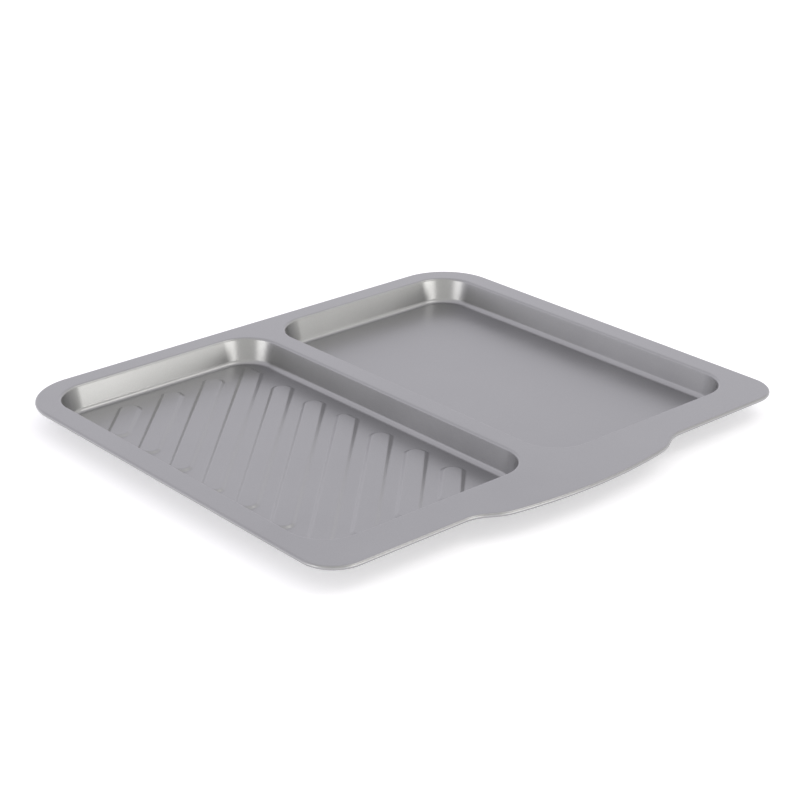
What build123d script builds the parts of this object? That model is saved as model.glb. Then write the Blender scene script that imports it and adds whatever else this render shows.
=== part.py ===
"""Divided oven tray: one steel pressing with a ribbed well, a plain well and a
wire stiffened rolled rim. Millimetres, +Z up, origin under the middle of the
whole outline, +X along the long side, -Y towards the handle."""

import os
from math import cos, degrees, radians, sin, sqrt, tan

from build123d import *

# Sheet and overall size
tray_width = 400.0
body_depth = 338.0
well_depth = 18.0
sheet = 0.6

# Flange round the two wells
side_flange = 17.0
front_flange = 29.0
back_flange = 16.0
divider_width = 16.0
front_corner_radius = 24.0
back_corner_radius = 42.0

# Handle, a bowed lobe of the front flange
handle_reach = 17.0
handle_root_width = 176.0
handle_bow_radius = 360.0
handle_side_angle = 30.0
handle_root_radius = 26.0
handle_shoulder_radius = 32.0

# Drawn wells
well_corner_radius = 27.0
wall_draft = 14.0
shoulder_radius = 2.0
floor_bend_radius = 4.0

# Ribs raised in the floor of the left well
rib_angle = 45.0
rib_pitch = 25.0
rib_width = 15.0
rib_height = 1.5
rib_draft = 35.0
rib_margin = 12.5
rib_end_radius = 3.0
ribs_each_side = 5

# Rolled rim and the wire inside it, with flats in place of a true round
wire_diameter = 1.6
wire_clearance = 0.1
curl_flats = 9
wire_flats = 12

# Heights and places that follow from the sizes above
flange_top = well_depth + sheet
flange_underside = flange_top - sheet
bead_radius = wire_diameter / 2 + wire_clearance + sheet
bead_height = flange_top - bead_radius
front_edge = handle_reach - (body_depth + handle_reach) / 2
back_edge = (body_depth + handle_reach) / 2
side_edge = tray_width / 2

well_width = side_edge - side_flange - divider_width / 2
well_length = body_depth - front_flange - back_flange
well_x = (divider_width + well_width) / 2
well_y = (front_edge + front_flange + back_edge - back_flange) / 2
wall_run = well_depth * tan(radians(wall_draft))
wall_skin = sheet / cos(radians(wall_draft))


def bow_height(x):
    """Y of the bowed handle edge at x."""
    lowest = front_edge - handle_reach
    return lowest + handle_bow_radius - sqrt(handle_bow_radius**2 - x**2)


def handle_shoulder():
    """X where the slanted handle side meets the bow, by bisection."""
    root = handle_root_width / 2
    slope = tan(radians(handle_side_angle))
    inner = 0.0
    outer = root
    for _ in range(40):
        middle = (inner + outer) / 2
        side_height = front_edge - (root - middle) * slope
        if bow_height(middle) > side_height:
            inner = middle
        else:
            outer = middle
    return (inner + outer) / 2


def level_face(body, height):
    """The level face of a body that lies nearest to a height."""
    return body.faces().filter_by(Axis.Z).sort_by(lambda face: abs(face.center().Z - height))[0]


def inner_edges(face):
    """Edges of the openings in a face."""
    return [edge for wire in face.inner_wires() for edge in wire.edges()]


# Plan of the flange, drawn to the outside and then drawn in to the middle of the rim
shoulder_x = handle_shoulder()
root_x = handle_root_width / 2
with BuildSketch(Plane.XY.offset(flange_underside)) as flange_plan:
    with BuildLine():
        Polyline(
            (-shoulder_x, bow_height(shoulder_x)),
            (-root_x, front_edge),
            (-side_edge, front_edge),
            (-side_edge, back_edge),
            (side_edge, back_edge),
            (side_edge, front_edge),
            (root_x, front_edge),
            (shoulder_x, bow_height(shoulder_x)),
        )
        ThreePointArc(
            (shoulder_x, bow_height(shoulder_x)),
            (0, bow_height(0)),
            (-shoulder_x, bow_height(shoulder_x)),
        )
    make_face()
    for corner_x, corner_y, radius in (
        (side_edge, back_edge, back_corner_radius),
        (side_edge, front_edge, front_corner_radius),
        (root_x, front_edge, handle_root_radius),
        (shoulder_x, bow_height(shoulder_x), handle_shoulder_radius),
    ):
        pair = flange_plan.vertices().filter_by(
            lambda v: abs(abs(v.X) - corner_x) < sheet and abs(v.Y - corner_y) < sheet
        )
        fillet(pair, radius)
    offset(amount=-bead_radius)
rim_line = flange_plan.sketch.face().outer_wire()


# Plan of the raised ribs, strips across the floor with rounded ends
rib_foot_width = well_width - 2 * wall_run - 2 * rib_margin
rib_foot_length = well_length - 2 * wall_run - 2 * rib_margin
strip_length = 2 * (rib_foot_width + rib_foot_length)
across = (-sin(radians(rib_angle)), cos(radians(rib_angle)))
with BuildSketch(Plane.XY.offset(sheet)) as rib_plan:
    for number in range(ribs_each_side):
        for side in (-1, 1):
            shift = side * (number + 0.5) * rib_pitch
            with Locations((-well_x + across[0] * shift, well_y + across[1] * shift)):
                Rectangle(strip_length, rib_width, rotation=rib_angle)
    with Locations((-well_x, well_y)):
        Rectangle(rib_foot_width, rib_foot_length, mode=Mode.INTERSECT)
    offset(amount=-rib_end_radius)
    offset(amount=rib_end_radius)

# The same plan for the hollow under each rib, drawn in by the slanted skin of its sides
rib_skin = sheet * (1 - sin(radians(rib_draft))) / cos(radians(rib_draft))
with BuildSketch(Plane.XY) as rib_hollow_plan:
    add(rib_plan.sketch.moved(Location((0, 0, -sheet))))
    offset(amount=-rib_skin)

# Sections of the rim, drawn round the middle of the wire with +X outwards
flat_angle = radians(360 / wire_flats)
curl_turns = [flat_angle * number for number in range(curl_flats + 1)]
wire_turns = [flat_angle * number for number in range(wire_flats)]


def ring_corners(radius, turns):
    """Corners of a flat sided ring, clockwise from its top."""
    return [(radius * sin(turn), radius * cos(turn)) for turn in turns]


curl_inside = bead_radius - sheet
curl_section = ring_corners(bead_radius, curl_turns) + ring_corners(curl_inside, curl_turns[::-1])
wire_section = ring_corners(wire_diameter / 2, wire_turns)


# The middle of the wire all round the tray
bead_line = rim_line.moved(Location((0, 0, bead_height - flange_underside)))


def rim_body(section_corners):
    """A section carried round the rim one straight run or bend at a time."""
    with BuildPart() as body:
        for run in bead_line.edges():
            along = run.tangent_at(0)
            outward = along.cross(Vector(0, 0, 1))
            with BuildSketch(Plane(origin=run.position_at(0), x_dir=outward, z_dir=-along)):
                with BuildLine():
                    Polyline(*section_corners, close=True)
                make_face()
            if run.geom_type == GeomType.LINE:
                extrude(amount=-run.length)
            else:
                turn = run.tangent_at(0).cross(run.tangent_at(1)).Z
                spin = Axis(run.arc_center, (0, 0, 1 if turn > 0 else -1))
                revolve(axis=spin, revolution_arc=degrees(run.length / run.radius))
    return body.part


def well_block(grow, height, bend):
    """Both wells as tapered blocks below the flange top, grown sideways, foot edges rounded."""
    with BuildPart() as block:
        with BuildSketch(Plane.XY.offset(flange_top)):
            with Locations((-well_x, well_y), (well_x, well_y)):
                RectangleRounded(
                    well_width + 2 * grow,
                    well_length + 2 * grow,
                    well_corner_radius + grow,
                )
        extrude(amount=-height, taper=wall_draft)
        fillet(block.edges().group_by(Axis.Z)[0], bend)
    return block.part


tubs = well_block(wall_skin, well_depth + sheet, floor_bend_radius + sheet)
cavities = well_block(0, well_depth, floor_bend_radius)

# The pressing: flange, two tubs, cavities, bends, ribs and the rolled rim
with BuildPart() as tray_pressing:
    add(flange_plan.sketch)
    extrude(amount=sheet)
    add(tubs)
    add(cavities, mode=Mode.SUBTRACT)
    fillet(inner_edges(level_face(tray_pressing, flange_top)), shoulder_radius)
    fillet(inner_edges(level_face(tray_pressing, flange_underside)), shoulder_radius - sheet)
    add(rib_plan.sketch)
    extrude(amount=rib_height, taper=rib_draft)
    add(rib_hollow_plan.sketch)
    extrude(amount=rib_height, taper=rib_draft, mode=Mode.SUBTRACT)
    add(rim_body(curl_section))

# The stiffening wire, one closed ring inside the curl
with BuildPart() as rim_wire:
    add(rim_body(wire_section))

tray_pressing.part.label = "tray_pressing"
rim_wire.part.label = "rim_wire"
os.makedirs("parts", exist_ok=True)
export_step(tray_pressing.part, "parts/tray_pressing.step")
export_step(rim_wire.part, "parts/rim_wire.step")
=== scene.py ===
# %% [markdown]
# # A divided oven tray
#
# The real tray is one steel sheet, pressed in one stroke. A die draws two shallow wells into it, raises
# slanting ribs in the floor of the left one, and leaves a flat flange with a bowed handle lobe. Then the
# edge of the sheet is rolled round a steel wire, and a satin grey non-stick coat is baked on.
#
# This lesson makes it the same way round. First comes the flat drawing of the dies, as curves. Then
# Geometry Nodes press it: sections are swept along the curves, and the flats between them are filled.
# Last come the coat, the light and the camera.

# %% Load the fixed frame
from math import acos, atan2, ceil, cos, hypot, pi, radians, sin, sqrt, tan

import bpy
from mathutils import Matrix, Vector


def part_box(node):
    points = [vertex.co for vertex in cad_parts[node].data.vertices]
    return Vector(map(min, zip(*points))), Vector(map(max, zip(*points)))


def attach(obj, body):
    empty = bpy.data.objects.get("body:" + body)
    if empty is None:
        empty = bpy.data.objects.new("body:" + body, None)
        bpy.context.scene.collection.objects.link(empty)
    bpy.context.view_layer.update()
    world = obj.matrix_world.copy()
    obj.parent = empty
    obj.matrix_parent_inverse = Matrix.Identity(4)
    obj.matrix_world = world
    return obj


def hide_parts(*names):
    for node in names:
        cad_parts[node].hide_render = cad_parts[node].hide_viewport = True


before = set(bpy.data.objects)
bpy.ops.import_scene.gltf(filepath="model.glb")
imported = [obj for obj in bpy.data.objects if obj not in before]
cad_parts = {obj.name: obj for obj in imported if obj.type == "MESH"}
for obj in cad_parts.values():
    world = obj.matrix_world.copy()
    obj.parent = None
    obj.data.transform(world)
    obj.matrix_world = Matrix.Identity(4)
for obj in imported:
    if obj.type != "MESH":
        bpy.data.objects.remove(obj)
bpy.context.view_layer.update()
mm = 0.001
low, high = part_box("tray_pressing")
print("tray is", [round((high[i] - low[i]) / mm, 1) for i in range(3)], "mm")

# %% [markdown]
# ## The sizes of the dies
#
# The overall size is read from the frame. The rest are the sizes that a toolmaker would put on the
# drawing: how wide the flange is left, how steep the walls are and how tight each bend is. Every bend
# gets a radius, because a sheet that is folded sharp would split, and a round bend is also what catches
# the light on a real pressing.

# %% Sizes of the pressing
sheet = 0.6 * mm
well_depth = 18.0 * mm
flange_top = high.z
side_edge = high.x
back_edge = high.y
handle_reach = 17.0 * mm
front_edge = low.y + handle_reach

side_flange = 17.0 * mm
front_flange = 29.0 * mm
back_flange = 16.0 * mm
divider_width = 16.0 * mm
front_corner_radius = 24.0 * mm
back_corner_radius = 42.0 * mm

handle_root_width = 176.0 * mm
handle_bow_radius = 360.0 * mm
handle_side_angle = radians(30)
handle_root_radius = 26.0 * mm
handle_shoulder_radius = 32.0 * mm

well_corner_radius = 27.0 * mm
wall_draft = radians(14)
shoulder_radius = 2.0 * mm
floor_bend_radius = 4.0 * mm
bead_radius = 1.5 * mm
curl_sweep = radians(270)

well_width = side_edge - side_flange - divider_width / 2
well_length = (back_edge - back_flange) - (front_edge + front_flange)
well_x = (divider_width + well_width) / 2
well_y = (front_edge + front_flange + back_edge - back_flange) / 2
wall_run = well_depth * tan(wall_draft)
print("each well opens", round(well_width / mm, 1), "x", round(well_length / mm, 1), "mm")

# %% [markdown]
# ## The sizes of the ribs
#
# The ribs are low, slanting strips that lift the food off the floor of the well. Their sides slope gently
# into soft bends, so in the light they are bands without a hard line. The width of a rib and its margin to
# the wall are measured half way up the sides. A pointed corner gets a larger radius than a blunt one, or
# it would look like a spike. Two of the ribs run into a corner of the well, which cuts off one of their
# tips and gives them a fifth side. The tip that they keep has a radius of its own.

# %% Sizes of the ribs
rib_angle = radians(45)
rib_pitch = 25.0 * mm
rib_width = 14.0 * mm
rib_height = 1.5 * mm
rib_slope = radians(32)
rib_margin = 13.0 * mm
rib_end_radius = 3.8 * mm
rib_tip_radius = 8.0 * mm
rib_lone_tip_radius = 5.6 * mm
rib_bend_radius = 2.4 * mm
ribs_each_side = 5
rib_run = rib_height / tan(rib_slope)
print("a rib's side goes", round(rib_run / mm, 2), "mm across and", round(rib_height / mm, 2), "mm up")

# %% [markdown]
# ## Round corners as points
#
# All the outlines here are made of straight runs and round corners. A corner is a centre, a radius and
# two angles, which are the directions that the edge faces before and after it. A hollow corner, like the
# root of the handle, is the same thing with a negative radius. Straight runs need no points of their own,
# because they are what is left between two corners. Each corner gets as many points as it takes to keep
# its short straight pieces within a few thousandths of a millimetre of the true arc.

# %% Points round a corner
chord_gap = 0.005 * mm
tip_turn = radians(100)


def corner_points(centre, radius, start, end):
    """Points of one round corner, whose outside faces start and then end."""
    step = 2 * acos(1 - chord_gap / abs(radius))
    steps = ceil(abs(end - start) / step)
    angles = [start + (end - start) * k / steps for k in range(steps + 1)]
    return [(centre[0] + radius * cos(a), centre[1] + radius * sin(a)) for a in angles]


def rounded_polygon(corners, radius, tip_radius=None):
    """Points of a convex polygon with round corners, anticlockwise. Pointed corners get tip_radius."""
    points = []
    for k, (x, y) in enumerate(corners):
        before = corners[k - 1]
        after = corners[(k + 1) % len(corners)]
        start = atan2(y - before[1], x - before[0]) - pi / 2
        turn = (atan2(after[1] - y, after[0] - x) - pi / 2 - start) % (2 * pi)
        middle = start + turn / 2
        size = tip_radius if tip_radius and turn > tip_turn else radius
        reach = size / cos(turn / 2)
        centre = (x - reach * cos(middle), y - reach * sin(middle))
        points += corner_points(centre, size, start, start + turn)
    return points


quarter = corner_points((0, 0), well_corner_radius, 0, pi / 2)
print("a corner of a well takes", len(quarter), "points")

# %% [markdown]
# ## The outline of the tray
#
# The handle is a shallow bow. Each end of it turns through a shoulder into a slanting side, and that side
# turns back through a hollow root into the front edge. The centre of the shoulder lies where two
# conditions meet: it is one shoulder radius inside the slanting side, and it is the bow radius less the
# shoulder radius from the centre of the bow. So the arcs touch without a kink, whatever the sizes are.
# The drawing runs along the middle of the rolled rim, one bead radius inside the true edge.

# %% Outline of the flange
same_point = 0.01 * mm


def outline_points():
    """Half of the outline, from the middle of the handle to the middle of the back, then its mirror."""
    bow_centre = (0, low.y + handle_bow_radius)
    root = (handle_root_width / 2, front_edge)
    facing = -pi / 2 + handle_side_angle
    normal = (cos(facing), sin(facing))
    along = (-normal[1], normal[0])
    # Distances of the bow's centre from the slanting side, and from the root along it
    gap = (bow_centre[0] - root[0]) * normal[0] + (bow_centre[1] - root[1]) * normal[1]
    foot = (bow_centre[0] - root[0]) * along[0] + (bow_centre[1] - root[1]) * along[1]
    inside = -handle_shoulder_radius - gap
    slide = foot - sqrt((handle_bow_radius - handle_shoulder_radius) ** 2 - inside**2)
    shoulder = (
        root[0] + along[0] * slide - normal[0] * handle_shoulder_radius,
        root[1] + along[1] * slide - normal[1] * handle_shoulder_radius,
    )
    meeting = atan2(shoulder[1] - bow_centre[1], shoulder[0] - bow_centre[0])
    root_centre_x = root[0] + handle_root_radius * tan(handle_side_angle / 2)
    root_centre = (root_centre_x, front_edge - handle_root_radius)
    front_centre = (side_edge - front_corner_radius, front_edge + front_corner_radius)
    back_centre = (side_edge - back_corner_radius, back_edge - back_corner_radius)
    half = corner_points(bow_centre, handle_bow_radius - bead_radius, -pi / 2, meeting)
    half += corner_points(shoulder, handle_shoulder_radius - bead_radius, meeting, facing)
    half += corner_points(root_centre, -handle_root_radius - bead_radius, facing, -pi / 2)
    half += corner_points(front_centre, front_corner_radius - bead_radius, -pi / 2, 0)
    half += corner_points(back_centre, back_corner_radius - bead_radius, 0, pi / 2)
    return half + [(-x, y) for x, y in reversed(half[1:])]


def without_repeats(points):
    """The same loop without points that lie on the one before."""
    kept = []
    for k, (x, y) in enumerate(points):
        before = points[k - 1]
        if hypot(x - before[0], y - before[1]) > same_point:
            kept.append((x, y))
    return kept


tray_outline = without_repeats(outline_points())
left_end = min(x for x, y in tray_outline)
print("outline has", len(tray_outline), "points, from x", round(left_end / mm, 2), "mm")

# %% [markdown]
# ## The openings of the wells
#
# The two wells are the same rectangle with round corners, one on each side of the divider. The line is
# drawn where the wall and the flange would meet in a sharp edge. The round shoulder between them belongs
# to the section that is swept along this line later.

# %% Openings of the wells
def rectangle(centre_x, centre_y, width, length):
    """Corners of an upright rectangle, anticlockwise."""
    left, right = centre_x - width / 2, centre_x + width / 2
    front, back = centre_y - length / 2, centre_y + length / 2
    return [(left, front), (right, front), (right, back), (left, back)]


well_openings = [
    rounded_polygon(rectangle(side * well_x, well_y, well_width, well_length), well_corner_radius)
    for side in (-1, 1)
]
print("each well opening has", len(well_openings[0]), "points")

# %% [markdown]
# ## The outlines of the ribs
#
# The ribs are slanting strips, cut off by a rectangle that stays clear of the walls. Cutting a polygon by
# a straight line is a short loop: keep the corners on the wanted side, and add a point where an edge
# crosses the line. So each rib starts as the rectangle and is cut twice, once along each of its sides.
# That gives two of the ribs their fifth side without any special case. What is drawn is the foot of a
# rib, which lies half a run outside the middle of its sides.

# %% Cut the strips
def cut(corners, normal, limit):
    """The part of a convex polygon where the distance along normal is under limit."""
    kept = []
    for k, point in enumerate(corners):
        last = corners[k - 1]
        now = point[0] * normal[0] + point[1] * normal[1] - limit
        then = last[0] * normal[0] + last[1] * normal[1] - limit
        if (now < 0) != (then < 0):
            share = then / (then - now)
            kept.append((last[0] + (point[0] - last[0]) * share, last[1] + (point[1] - last[1]) * share))
        if now < 0:
            kept.append(point)
    return kept


def rib_outlines():
    """Rounded feet of the ribs, in order across the well."""
    inset = wall_run + rib_margin - rib_run / 2
    field = rectangle(-well_x, well_y, well_width - 2 * inset, well_length - 2 * inset)
    half_width = (rib_width + rib_run) / 2
    across = (-sin(rib_angle), cos(rib_angle))
    back_across = (-across[0], -across[1])
    centre = -well_x * across[0] + well_y * across[1]
    feet = []
    for number in range(-ribs_each_side, ribs_each_side):
        middle = centre + (number + 0.5) * rib_pitch
        strip = cut(field, across, middle + half_width)
        strip = cut(strip, back_across, half_width - middle)
        tip_radius = rib_tip_radius if len(strip) == 4 else rib_lone_tip_radius
        feet.append(rounded_polygon(strip, rib_end_radius, tip_radius))
    return feet


rib_feet = rib_outlines()
print(len(rib_feet), "ribs, the longest with", max(len(foot) for foot in rib_feet), "points")

# %% [markdown]
# ## Building node trees by script
#
# A node tree in a script is a list of nodes and the wires between them. Written out in full, each node
# takes several lines, and the idea gets lost. So a few helpers come first. One makes an empty tree with
# its named sockets, and one turns a list of sizes into such sockets. One adds a node, makes its settings
# and plugs things into it: a plain value is set on the socket, and another node is wired in. The others
# are short names for what comes up again and again: a sum, a change of sign, a point, a mix of two
# colours and a tree that is used inside another.

# %% Helpers for node trees
def new_tree(name, kind, inputs, outputs):
    """An empty node group with named sockets, and its input and output nodes."""
    tree = bpy.data.node_groups.new(name, kind)
    for label, socket_type, value in inputs:
        socket = tree.interface.new_socket(label, in_out="INPUT", socket_type=socket_type)
        if value is not None:
            socket.default_value = value
    for label, socket_type in outputs:
        tree.interface.new_socket(label, in_out="OUTPUT", socket_type=socket_type)
    return tree, tree.nodes.new("NodeGroupInput").outputs, tree.nodes.new("NodeGroupOutput").inputs


def size_sockets(sizes):
    """Named sockets for sizes, with whole numbers for the counts."""
    return [
        (name, "NodeSocketInt" if isinstance(size, int) else "NodeSocketFloat", size)
        for name, size in sizes.items()
    ]


def plug(tree, socket, value):
    """Wire a node or a socket into socket, or set it to a plain value."""
    if isinstance(value, bpy.types.Node):
        tree.links.new(value.outputs[0], socket)
    elif isinstance(value, bpy.types.NodeSocket):
        tree.links.new(value, socket)
    else:
        socket.default_value = value


def add(tree, kind, plugs=None, **settings):
    """A node in tree, with its settings made and its inputs plugged in by name or number."""
    node = tree.nodes.new(kind)
    for name, value in settings.items():
        setattr(node, name, value)
    for key, value in (plugs or {}).items():
        plug(tree, node.inputs[key], value)
    return node


def calculate(tree, operation, *values):
    """A math node on the values given."""
    return add(tree, "ShaderNodeMath", dict(enumerate(values)), operation=operation)


def minus(tree, value):
    """A value with its sign changed."""
    return calculate(tree, "MULTIPLY", value, -1.0)


def point_at(tree, **places):
    """A point, from those of its X, Y and Z that aren't 0."""
    return add(tree, "ShaderNodeCombineXYZ", places)


def mixed_color(tree, share, first, second):
    """A colour between two others. In a Mix node they are inputs 6 and 7, and the result is output 2."""
    return add(tree, "ShaderNodeMix", {0: share, 6: first, 7: second}, data_type="RGBA").outputs[2]


def use(tree, group, **plugs):
    """A tree used as one node in another, with its sockets plugged in by name."""
    kind = "ShaderNodeGroup" if group.bl_idname == "ShaderNodeTree" else "GeometryNodeGroup"
    named = {name.replace("_", " "): value for name, value in plugs.items()}
    return add(tree, kind, named, node_tree=group)


# %% [markdown]
# ## The section of a drawn wall
#
# Seen cut through, the wall of a well and the side of a rib are the same thing at two sizes: flat, a bend,
# a slope, another bend, flat again. One node group draws both. It starts from four points, and Fillet
# Curve rounds the two in the middle. The flat ends are left a little long, so that the sheet beside each
# bend has a narrow flat band of its own, which keeps the shading of the wide flats level.
#
# In Curve to Mesh, a section's X points outwards from an anticlockwise path, and its Y points down.

# %% Node group for a slope between two bends
flat_end = 0.3 * mm
wall_bend_points = 10


def slope_section_tree():
    """A cut through a slope with a bend at each end, and how far its flat ends reach."""
    tree, given, result = new_tree(
        "slope_section", "GeometryNodeTree",
        size_sockets({
            "Drop": well_depth,
            "Run": wall_run,
            "Outer Radius": shoulder_radius,
            "Inner Radius": floor_bend_radius,
            "Flat End": flat_end,
            "Bend Points": wall_bend_points,
        }),
        [
            ("Section", "NodeSocketGeometry"),
            ("Outer Reach", "NodeSocketFloat"),
            ("Inner Reach", "NodeSocketFloat"),
        ],
    )
    # A bend starts this share of its radius before the corner that it rounds
    turn = calculate(tree, "ARCTAN2", calculate(tree, "ABSOLUTE", given["Drop"]), given["Run"])
    share = calculate(tree, "TANGENT", calculate(tree, "MULTIPLY", turn, 0.5))
    outer_reach = calculate(tree, "MULTIPLY_ADD", given["Outer Radius"], share, given["Flat End"])
    inner_end = calculate(tree, "MULTIPLY_ADD", given["Inner Radius"], share, given["Flat End"])
    inner_reach = calculate(tree, "ADD", given["Run"], inner_end)

    corners = add(tree, "GeometryNodeCurvePrimitiveQuadrilateral", mode="POINTS")
    foot_x = minus(tree, given["Run"])
    end_x = minus(tree, inner_reach)
    plug(tree, corners.inputs["Point 1"], point_at(tree, X=outer_reach))
    plug(tree, corners.inputs["Point 2"], (0, 0, 0))
    plug(tree, corners.inputs["Point 3"], point_at(tree, X=foot_x, Y=given["Drop"]))
    plug(tree, corners.inputs["Point 4"], point_at(tree, X=end_x, Y=given["Drop"]))
    opened = add(tree, "GeometryNodeSetSplineCyclic", {"Geometry": corners, "Cyclic": False})

    # The nodes count points from 0, so Points 3 and 4 are the ones over 1.5
    index = add(tree, "GeometryNodeInputIndex")
    at_foot = add(tree, "FunctionNodeCompare", {0: index, 1: 1.5}, operation="GREATER_THAN")
    radius = add(tree, "GeometryNodeSwitch", input_type="FLOAT")
    plug(tree, radius.inputs["Switch"], at_foot)
    plug(tree, radius.inputs["False"], given["Outer Radius"])
    plug(tree, radius.inputs["True"], given["Inner Radius"])
    rounded = add(tree, "GeometryNodeFilletCurve", mode="POLY")
    plug(tree, rounded.inputs["Curve"], opened)
    plug(tree, rounded.inputs["Count"], given["Bend Points"])
    plug(tree, rounded.inputs["Radius"], radius)
    plug(tree, result["Section"], rounded)
    plug(tree, result["Outer Reach"], outer_reach)
    plug(tree, result["Inner Reach"], inner_reach)
    return tree


slope_section = slope_section_tree()
print("slope section:", len(slope_section.nodes), "nodes")

# %% [markdown]
# ## The section of the rolled rim
#
# The rim starts as a narrow flat band of the flange, then turns over the wire, down and back under. It
# stops three quarters of the way round, which is enough to hold the wire. The section is drawn round the
# middle of the wire, from a short line and an arc.

# %% Node group for the curl
curl_points = 24


def joined(tree, *pieces):
    """Several geometries as one, in the order given."""
    join = add(tree, "GeometryNodeJoinGeometry")
    for piece in reversed(pieces):
        plug(tree, join.inputs[0], piece)
    return join


def curl_section_tree():
    """A cut through the rolled rim, from the flange outwards, down and back under."""
    tree, given, result = new_tree(
        "curl_section", "GeometryNodeTree",
        size_sockets({
            "Bead Radius": bead_radius,
            "Curl Sweep": curl_sweep,
            "Curl Points": curl_points,
            "Flat End": flat_end,
        }),
        [("Section", "NodeSocketGeometry")],
    )
    top_y = minus(tree, given["Bead Radius"])
    lead = add(tree, "GeometryNodeCurvePrimitiveLine")
    plug(tree, lead.inputs["Start"], point_at(tree, X=minus(tree, given["Flat End"]), Y=top_y))
    plug(tree, lead.inputs["End"], point_at(tree, Y=top_y))
    curl = add(tree, "GeometryNodeCurveArc", {"Start Angle": -pi / 2, "Connect Center": False})
    plug(tree, curl.inputs["Resolution"], given["Curl Points"])
    plug(tree, curl.inputs["Radius"], given["Bead Radius"])
    plug(tree, curl.inputs["Sweep Angle"], given["Curl Sweep"])
    plug(tree, result["Section"], joined(tree, lead, curl))
    return tree


curl_section = curl_section_tree()
print("curl section:", len(curl_section.nodes), "nodes")

# %% [markdown]
# ## A moved path and a flat
#
# A flat between two bends starts where the bend ends, so its edge is the path moved sideways by the
# reach of the section. Curve to Mesh lays a section out along the curve's own normals. Moving the curve
# along the same normals gives the very same points, so the flat can be welded to the bend.

# %% Node groups for moving a path and for filling it
def moved_path_tree():
    """A path moved outwards by a distance."""
    tree, given, result = new_tree(
        "moved_path", "GeometryNodeTree",
        [("Path", "NodeSocketGeometry", None), ("Distance", "NodeSocketFloat", 0.0)],
        [("Path", "NodeSocketGeometry")],
    )
    step = add(tree, "ShaderNodeVectorMath", operation="SCALE")
    plug(tree, step.inputs[0], add(tree, "GeometryNodeInputNormal"))
    plug(tree, step.inputs["Scale"], given["Distance"])
    moved = add(tree, "GeometryNodeSetPosition", {"Geometry": given["Path"], "Offset": step})
    plug(tree, result["Path"], moved)
    return tree


def lifted(tree, geometry, height):
    """A geometry moved up by a height."""
    lift = point_at(tree, Z=height)
    return add(tree, "GeometryNodeTransform", {"Geometry": geometry, "Translation": lift})


def flat_tree():
    """A flat sheet between closed paths, at a height. A path inside another is a hole."""
    tree, given, result = new_tree(
        "flat", "GeometryNodeTree",
        [("Paths", "NodeSocketGeometry", None), ("Height", "NodeSocketFloat", 0.0)],
        [("Sheet", "NodeSocketGeometry")],
    )
    filled = add(tree, "GeometryNodeFillCurve", {"Curve": given["Paths"]}, mode="TRIANGLES")
    plug(tree, result["Sheet"], lifted(tree, filled, given["Height"]))
    return tree


moved_path = moved_path_tree()
flat = flat_tree()
print("moved path:", len(moved_path.nodes), "nodes, flat:", len(flat.nodes), "nodes")

# %% [markdown]
# ## Sorting the drawing
#
# The drawing is one curve object with a spline for each line: the outline first, then the wells, then the
# ribs. One object is enough, because the splines are numbered, so their place in the list says what they
# are. Once the outline is taken out, the lines that are left are numbered from 0 again.

# %% Node group that sorts the lines
def sorted_lines_tree():
    """The outline, the wells and the ribs of a drawing, with their normals kept level."""
    tree, given, result = new_tree(
        "sorted_lines", "GeometryNodeTree",
        [("Drawing", "NodeSocketGeometry", None)] + size_sockets({"Wells": len(well_openings)}),
        [(name, "NodeSocketGeometry") for name in ("Outline", "Wells", "Ribs")],
    )
    level = add(tree, "GeometryNodeSetCurveNormal", {"Curve": given["Drawing"]}, mode="Z_UP")
    # The numbers are whole, so half a step below a line picks that line and all after it
    number = add(tree, "GeometryNodeInputIndex")
    by_outline = add(tree, "GeometryNodeSeparateGeometry", domain="CURVE")
    plug(tree, by_outline.inputs["Geometry"], level)
    plug(tree, by_outline.inputs["Selection"], calculate(tree, "GREATER_THAN", number, 0.5))
    first_rib = calculate(tree, "SUBTRACT", given["Wells"], 0.5)
    by_rib = add(tree, "GeometryNodeSeparateGeometry", domain="CURVE")
    plug(tree, by_rib.inputs["Geometry"], by_outline.outputs["Selection"])
    plug(tree, by_rib.inputs["Selection"], calculate(tree, "GREATER_THAN", number, first_rib))
    plug(tree, result["Outline"], by_outline.outputs["Inverted"])
    plug(tree, result["Wells"], by_rib.outputs["Inverted"])
    plug(tree, result["Ribs"], by_rib.outputs["Selection"])
    return tree


sorted_lines = sorted_lines_tree()
print("sorted lines:", len(sorted_lines.nodes), "nodes")

# %% [markdown]
# ## The sizes that the press takes
#
# The press is one tree with a named input for each size, so a different tray is only a different list of
# sizes. The list is written once. It gives the tree its inputs here, and it is set on the modifier later.

# %% Sizes for the press
weld_distance = 0.01 * mm

press_sizes = {
    "Wells": len(well_openings),
    "Flange Height": flange_top,
    "Well Depth": well_depth,
    "Wall Run": wall_run,
    "Shoulder Radius": shoulder_radius,
    "Floor Bend Radius": floor_bend_radius,
    "Rib Height": rib_height,
    "Rib Run": rib_run,
    "Rib Bend Radius": rib_bend_radius,
    "Bead Radius": bead_radius,
    "Curl Sweep": curl_sweep,
    "Curl Points": curl_points,
    "Flat End": flat_end,
    "Weld Distance": weld_distance,
}
print("the press takes", len(press_sizes), "sizes")

# %% [markdown]
# ## The bends and the flats
#
# Three sections make all that is bent: the wall of a well, the side of a rib and the rolled rim. A wall
# and the side of a rib are the same group, only that a rib rises where a wall drops. Three flats make the
# rest: the flange, the floors of the wells and the tops of the ribs. Each lies between lines that are
# moved by the reach of the bend beside it.

# %% Sections and flats in the press
rib_bend_points = 5


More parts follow.
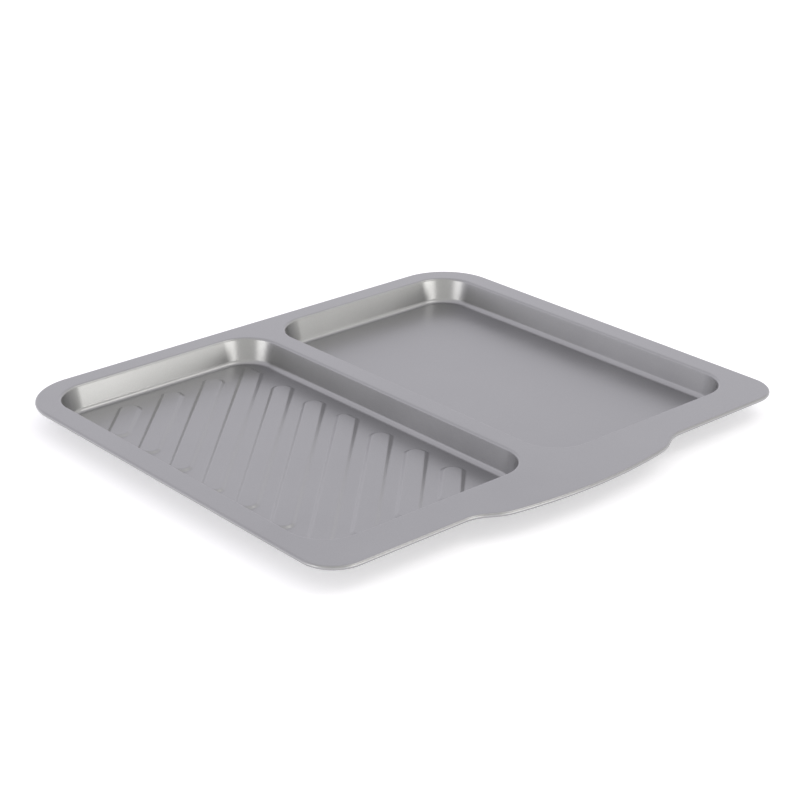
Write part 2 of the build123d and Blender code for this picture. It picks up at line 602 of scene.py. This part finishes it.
def press_sections(tree, given):
    """The sections of a wall, of the side of a rib and of the rim."""
    wall = use(
        tree, slope_section,
        Drop=given["Well Depth"],
        Run=given["Wall Run"],
        Outer_Radius=given["Shoulder Radius"],
        Inner_Radius=given["Floor Bend Radius"],
        Flat_End=given["Flat End"],
        Bend_Points=wall_bend_points,
    )
    side = use(
        tree, slope_section,
        Drop=minus(tree, given["Rib Height"]),
        Run=given["Rib Run"],
        Outer_Radius=given["Rib Bend Radius"],
        Inner_Radius=given["Rib Bend Radius"],
        Flat_End=given["Flat End"],
        Bend_Points=rib_bend_points,
    )
    curl = use(
        tree, curl_section,
        Bead_Radius=given["Bead Radius"],
        Curl_Sweep=given["Curl Sweep"],
        Curl_Points=given["Curl Points"],
        Flat_End=given["Flat End"],
    )
    return wall, side, curl


def press_flats(tree, lines, flat_band, wall, side, heights):
    """The flange, the floors and the rib tops, at their heights, between the bends."""
    def moved(name, distance):
        """The lines of one name, moved outwards by a distance."""
        return use(tree, moved_path, Path=lines[name], Distance=distance)

    flange_lines = joined(
        tree,
        moved("Outline", minus(tree, flat_band)),
        moved("Wells", wall.outputs["Outer Reach"]),
    )
    floor_lines = joined(
        tree,
        moved("Wells", minus(tree, wall.outputs["Inner Reach"])),
        moved("Ribs", side.outputs["Outer Reach"]),
    )
    rib_top_lines = moved("Ribs", minus(tree, side.outputs["Inner Reach"]))
    paths = (flange_lines, floor_lines, rib_top_lines)
    flats = [use(tree, flat, Paths=path, Height=height) for path, height in zip(paths, heights)]
    return joined(tree, *flats)


# %% [markdown]
# ## The press
#
# Now the press itself. It sweeps the sections along their lines, lays the flats between them, and welds
# everything into one sheet by merging the points that meet. The walls and the sides of the ribs come out
# of the sweep facing down, because their sections run inwards, so they are turned over first.

# %% Node group for the whole pressing
def swept(tree, path, section):
    """A section carried along a path."""
    return add(tree, "GeometryNodeCurveToMesh", {"Curve": path, "Profile Curve": section})


def press_tree():
    """The upper skin of the tray, from its drawing."""
    drawing_socket = ("Drawing", "NodeSocketGeometry", None)
    finish_socket = ("Finish", "NodeSocketMaterial", None)
    tree, given, result = new_tree(
        "tray_press", "GeometryNodeTree",
        [drawing_socket] + size_sockets(press_sizes) + [finish_socket],
        [("Sheet", "NodeSocketGeometry")],
    )
    lines = use(tree, sorted_lines, Drawing=given["Drawing"], Wells=given["Wells"]).outputs
    flange_height = given["Flange Height"]
    floor_height = calculate(tree, "SUBTRACT", flange_height, given["Well Depth"])
    rib_top_height = calculate(tree, "ADD", floor_height, given["Rib Height"])
    bead_height = calculate(tree, "SUBTRACT", flange_height, given["Bead Radius"])

    wall, side, curl = press_sections(tree, given)
    walls = swept(tree, lifted(tree, lines["Wells"], flange_height), wall)
    sides = swept(tree, lifted(tree, lines["Ribs"], floor_height), side)
    rim = swept(tree, lifted(tree, lines["Outline"], bead_height), curl)
    heights = (flange_height, floor_height, rib_top_height)
    flats = press_flats(tree, lines, given["Flat End"], wall, side, heights)

    turned = add(tree, "GeometryNodeFlipFaces", {"Mesh": joined(tree, walls, sides)})
    welded = add(tree, "GeometryNodeMergeByDistance", {"Geometry": joined(tree, turned, rim, flats)})
    plug(tree, welded.inputs["Distance"], given["Weld Distance"])
    smooth = add(tree, "GeometryNodeSetShadeSmooth", {"Geometry": welded})
    real = add(tree, "GeometryNodeRealizeInstances", {"Geometry": smooth})
    coated = add(tree, "GeometryNodeSetMaterial", {"Geometry": real, "Material": given["Finish"]})
    plug(tree, result["Sheet"], coated)
    return tree


tray_press = press_tree()
print("press:", len(tray_press.nodes), "nodes")

# %% [markdown]
# ## The grain
#
# The coat is a satin, silver grey non-stick layer, sprayed on thin. It is a mirror with a soft edge: it
# shows the studio as broad light and dark, never as a picture. Close to, it has a fine grain from the
# spray, and wide, faint clouds where the layer is a little thicker or thinner. Both are slight, so they
# are made as small changes of roughness and colour, and the grain as a very shallow bump too. The bare
# wire has the same kind of grain, only coarser, so the grain is one node group, and each material gives
# it its own values.

# %% Node group for a fine grain
cloud_size = 60.0 * mm
grain_detail = 2.0
cloud_detail = 3.0
grain_share = 0.6
noise_low = 0.3
noise_high = 0.7


def grain_tree():
    """A fine grain in the object's own space: a colour, a roughness and a height."""
    tree, given, result = new_tree(
        "fine_grain", "ShaderNodeTree",
        [
            ("Grain Size", "NodeSocketFloat", 0.4 * mm),
            ("Cloud Size", "NodeSocketFloat", cloud_size),
            ("Dark", "NodeSocketColor", (0.38, 0.38, 0.38, 1)),
            ("Light", "NodeSocketColor", (0.42, 0.42, 0.42, 1)),
            ("Smoothest", "NodeSocketFloat", 0.3),
            ("Roughest", "NodeSocketFloat", 0.4),
        ],
        [("Color", "NodeSocketColor"), ("Roughness", "NodeSocketFloat"), ("Height", "NodeSocketFloat")],
    )
    place = add(tree, "ShaderNodeTexCoord").outputs["Object"]

    def noise(size, detail):
        """Soft noise with spots of about a size."""
        scale = calculate(tree, "DIVIDE", 1.0, size)
        spots = add(tree, "ShaderNodeTexNoise", {"Vector": place, "Scale": scale, "Detail": detail})
        return spots.outputs[0]

    def spread(value):
        """Noise spread out to run from 0 to 1, which it hardly ever reaches by itself."""
        reach = {"From Min": noise_low, "From Max": noise_high}
        return add(tree, "ShaderNodeMapRange", {"Value": value, **reach})

    grain = noise(given["Grain Size"], grain_detail)
    cloud = noise(given["Cloud Size"], cloud_detail)
    cloud_part = calculate(tree, "MULTIPLY", cloud, 1 - grain_share)
    both = calculate(tree, "MULTIPLY_ADD", grain, grain_share, cloud_part)
    rough = spread(cloud)
    plug(tree, rough.inputs["To Min"], given["Smoothest"])
    plug(tree, rough.inputs["To Max"], given["Roughest"])
    plug(tree, result["Color"], mixed_color(tree, spread(both), given["Dark"], given["Light"]))
    plug(tree, result["Roughness"], rough)
    plug(tree, result["Height"], grain)
    return tree


fine_grain = grain_tree()
print("fine grain:", len(fine_grain.nodes), "nodes")

# %% [markdown]
# ## The coat and the wire
#
# Both finishes shine as metal does, so one function makes both. The coat is darker and more even, and its
# grain is finer and shallower. The wire was pulled through a die and left bare, so it is lighter, with
# more change from place to place.

# %% Satin coat and bare wire
def empty_material(name):
    """A material with nothing in its node tree, and that tree."""
    material = bpy.data.materials.new(name)
    material.use_nodes = True
    material.node_tree.nodes.clear()
    return material, material.node_tree


def grained_metal(name, dark, light, smoothest, roughest, grain_size, bump_height):
    """A metal finish with the fine grain."""
    material, tree = empty_material(name)
    grain = use(tree, fine_grain, Grain_Size=grain_size, Dark=dark, Light=light)
    plug(tree, grain.inputs["Smoothest"], smoothest)
    plug(tree, grain.inputs["Roughest"], roughest)
    bump = add(tree, "ShaderNodeBump", {"Height": grain.outputs["Height"], "Distance": bump_height})
    surface = add(tree, "ShaderNodeBsdfPrincipled", {"Metallic": 1.0, "Normal": bump})
    plug(tree, surface.inputs["Base Color"], grain.outputs["Color"])
    plug(tree, surface.inputs["Roughness"], grain.outputs["Roughness"])
    add(tree, "ShaderNodeOutputMaterial", {"Surface": surface})
    return material


satin_coat = grained_metal(
    "satin_coat",
    dark=(0.345, 0.344, 0.349, 1),
    light=(0.405, 0.404, 0.409, 1),
    smoothest=0.29,
    roughest=0.35,
    grain_size=0.5 * mm,
    bump_height=0.004 * mm,
)
drawn_wire = grained_metal(
    "drawn_wire",
    dark=(0.45, 0.45, 0.45, 1),
    light=(0.6, 0.6, 0.6, 1),
    smoothest=0.25,
    roughest=0.4,
    grain_size=1.0 * mm,
    bump_height=0.01 * mm,
)
print("finishes:", satin_coat.name, drawn_wire.name)

# %% [markdown]
# ## Press the tray
#
# A curve object can carry a Geometry Nodes modifier as a mesh can. Its inputs are set by their
# identifiers, before anything looks at the result. The result is then copied out as a plain mesh, and the
# drawing has done its work.

# %% Put the drawing into the press
def placed(name, data):
    """A new object in the scene."""
    thing = bpy.data.objects.new(name, data)
    bpy.context.scene.collection.objects.link(thing)
    return thing


def closed_lines(name, loops):
    """A curve object with one closed, straight sided spline for each loop."""
    curve = bpy.data.curves.new(name, "CURVE")
    curve.dimensions = "3D"
    for loop in loops:
        spline = curve.splines.new("POLY")
        spline.points.add(len(loop) - 1)
        for point, (x, y) in zip(spline.points, loop):
            point.co = (x, y, 0, 1)
        spline.use_cyclic_u = True
    return placed(name, curve)


def finished_mesh(thing):
    """A plain mesh of what an object and its modifiers make."""
    return bpy.data.meshes.new_from_object(thing.evaluated_get(bpy.context.evaluated_depsgraph_get()))


def pressed_mesh(drawing, tree, sizes):
    """The plain mesh that a tree makes from a drawing, with the tree's inputs set by name."""
    modifier = drawing.modifiers.new(tree.name, "NODES")
    modifier.node_group = tree
    for item in tree.interface.items_tree:
        if item.in_out == "INPUT" and item.name in sizes:
            modifier[item.identifier] = sizes[item.name]
    mesh = finished_mesh(drawing)
    drawing.modifiers.remove(modifier)
    return mesh


def triangle_count(mesh):
    """How many triangles a mesh has."""
    return sum(len(face.vertices) - 2 for face in mesh.polygons)


die_drawing = closed_lines("die_drawing", [tray_outline] + well_openings + rib_feet)
skin = pressed_mesh(die_drawing, tray_press, {**press_sizes, "Finish": satin_coat})
bpy.data.objects.remove(die_drawing)
print("upper skin:", triangle_count(skin), "triangles")

# %% [markdown]
# ## From skin to sheet
#
# The press makes the upper skin only. Solidify gives it the thickness of the sheet, inwards and down, so
# the size doesn't change. The ribs come out hollow underneath and the rim becomes a true open curl. A real
# mesh is needed for the export, so the modifier is made final. The one sharp edge that a pressing has is
# the cut edge of the sheet, inside the curl, and shading by angle keeps it crisp.

# %% Give the sheet its thickness
crease_angle = radians(50)

tray = placed("pressed_tray", skin)
thickness = tray.modifiers.new("sheet", "SOLIDIFY")
thickness.thickness = sheet
thickness.offset = -1
thickness.use_even_offset = True
solid_mesh = finished_mesh(tray)
tray.modifiers.remove(thickness)
tray.data = solid_mesh
solid_mesh.name = "pressed_tray"
solid_mesh.set_sharp_from_angle(angle=crease_angle)
print("whole sheet:", triangle_count(solid_mesh), "triangles")

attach(tray, "root")
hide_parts("tray_pressing")

# %% [markdown]
# ## The wire
#
# The wire inside the rim keeps its shape from the frame, and only gets its finish.

# %% Finish the wire
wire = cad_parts["rim_wire"]
for material_slot in wire.material_slots:
    material_slot.material = drawn_wire
print("rim wire:", len(wire.material_slots), "slot,", len(wire.data.vertices), "vertices")

# %% [markdown]
# ## The floor
#
# Metal shows what is around it more than its own colour, so the studio is most of the look. The photo
# shows a white sweep under large soft lights. The sweep is a wide floor, and its shadow matters: it is
# what sets the tray down. The floor is a plain white paper that adds a little of its own light for the
# camera and for reflections, so it reads as white where nothing shades it and still keeps the shadow.

# %% Floor
paper_color = (0.8, 0.79, 0.82, 1)
paper_glow = 0.43
floor_width = 16.0
floor_drop = 0.02 * mm


def floor_material():
    """White paper, brought up to white for the camera and in reflections."""
    material, tree = empty_material("white_paper")
    paper = add(tree, "ShaderNodeBsdfDiffuse", {"Color": paper_color})
    rays = add(tree, "ShaderNodeLightPath").outputs
    seen = calculate(tree, "MAXIMUM", rays["Is Camera Ray"], rays["Is Glossy Ray"])
    seen = calculate(tree, "MAXIMUM", seen, rays["Is Transmission Ray"])
    glow = add(tree, "ShaderNodeEmission", {"Strength": calculate(tree, "MULTIPLY", seen, paper_glow)})
    both = add(tree, "ShaderNodeAddShader", {0: paper, 1: glow})
    add(tree, "ShaderNodeOutputMaterial", {"Surface": both})
    return material


floor_mesh = bpy.data.meshes.new("paper_floor")
floor_corners = [(x, y, -floor_drop) for x, y in rectangle(0, 0, floor_width, floor_width)]
floor_mesh.from_pydata(floor_corners, [], [(0, 1, 2, 3)])
floor_mesh.materials.append(floor_material())
floor = placed("paper_floor", floor_mesh)
print("floor is", floor_width, "m wide")

# %% [markdown]
# ## The room
#
# The room round the sweep is a plain, pale light from all sides. It isn't quite even: a little brighter
# near the horizon than overhead, and a little warmer in front than behind. The tray mirrors those small
# differences, and they keep a wide grey surface from looking like one flat colour. They light the tray
# and show in it, but the camera itself sees plain white.

# %% World
horizon_light = 1.05
overhead_light = 0.9
climb_start = 0.3
climb_end = 0.5
warm_front = (1.0, 0.995, 0.96, 1)
cool_back = (0.99, 0.975, 1.035, 1)
swing_reach = 0.5

world = bpy.data.worlds.new("studio")
bpy.context.scene.world = world
world.use_nodes = True
room = world.node_tree
room.nodes.clear()
looking = add(room, "ShaderNodeTexCoord").outputs["Generated"]
direction = add(room, "ShaderNodeSeparateXYZ", {"Vector": looking}).outputs
climb = add(room, "ShaderNodeMapRange", {"Value": direction["Z"]}, interpolation_type="SMOOTHSTEP")
plug(room, climb.inputs["From Min"], climb_start)
plug(room, climb.inputs["From Max"], climb_end)
plug(room, climb.inputs["To Min"], horizon_light)
plug(room, climb.inputs["To Max"], overhead_light)
swing = add(room, "ShaderNodeMapRange", {"Value": direction["Y"]})
plug(room, swing.inputs["From Min"], -swing_reach)
plug(room, swing.inputs["From Max"], swing_reach)
room_color = mixed_color(room, swing, warm_front, cool_back)
backdrop = add(room, "ShaderNodeBackground", {"Color": room_color, "Strength": climb})
white = add(room, "ShaderNodeBackground", {"Color": (1, 1, 1, 1), "Strength": 1.0})
by_camera = add(room, "ShaderNodeLightPath").outputs["Is Camera Ray"]
shown = add(room, "ShaderNodeMixShader", {0: by_camera, 1: backdrop, 2: white})
add(room, "ShaderNodeOutputWorld", {"Surface": shown})
print("room:", len(room.nodes), "nodes")

# %% [markdown]
# ## The lamps
#
# Two lamps are low, wide strips, one in front and one on the left. They light up what faces them, such as
# the rolled rim and the near sides of the ribs. The third is the main light, high up at the front right.
# All three are soft and fairly weak, because the tray is a mirror: a strong lamp would turn it white when
# it is seen from the other side.

# %% Lamps
lamp_tint = (1.0, 0.995, 0.955)
lamp_distance = 2.3


def soft_lamp(name, towards, width, height, brightness):
    """A soft lamp that faces the tray, sized in metres. A larger one isn't dimmer to look at."""
    data = bpy.data.lights.new(name, "AREA")
    data.shape = "RECTANGLE"
    data.size = width
    data.size_y = height
    data.energy = brightness * pi * width * height
    data.color = lamp_tint
    lamp = placed(name, data)
    lamp.location = Vector(towards).normalized() * lamp_distance
    lamp.rotation_euler = lamp.location.to_track_quat("Z", "Y").to_euler()
    return lamp


lamps = [
    soft_lamp("front_lamp", towards=(0.22, -1.0, 0.12), width=1.7, height=0.55, brightness=3.0),
    soft_lamp("left_lamp", towards=(-1.0, 0.05, 0.12), width=1.2, height=0.55, brightness=2.8),
    soft_lamp("key_lamp", towards=(0.38, -0.4, 0.83), width=1.1, height=0.9, brightness=1.6),
]
print("lamps:", [(lamp.name, round(lamp.data.energy, 1)) for lamp in lamps])

# %% [markdown]
# ## The camera
#
# The photo was taken with a long lens from about 1.3 metres away, which keeps the far edges of the tray
# nearly parallel. The place and the angles were solved from the straight edges of the tray.

# %% Camera
camera_place = (-808.3 * mm, -916.5 * mm, 545.9 * mm)
camera_pitch = radians(23.47)
camera_yaw = radians(41.18)

camera_data = bpy.data.cameras.new("camera")
camera_data.sensor_width = 36.0
camera_data.lens = 88.83
camera = placed("camera", camera_data)
camera.location = camera_place
camera.rotation_euler = (pi / 2 - camera_pitch, 0, -camera_yaw)
bpy.context.scene.camera = camera
bpy.context.scene.view_settings.view_transform = "Standard"
print("camera is", round(hypot(*camera_place), 2), "m from the middle of the tray")
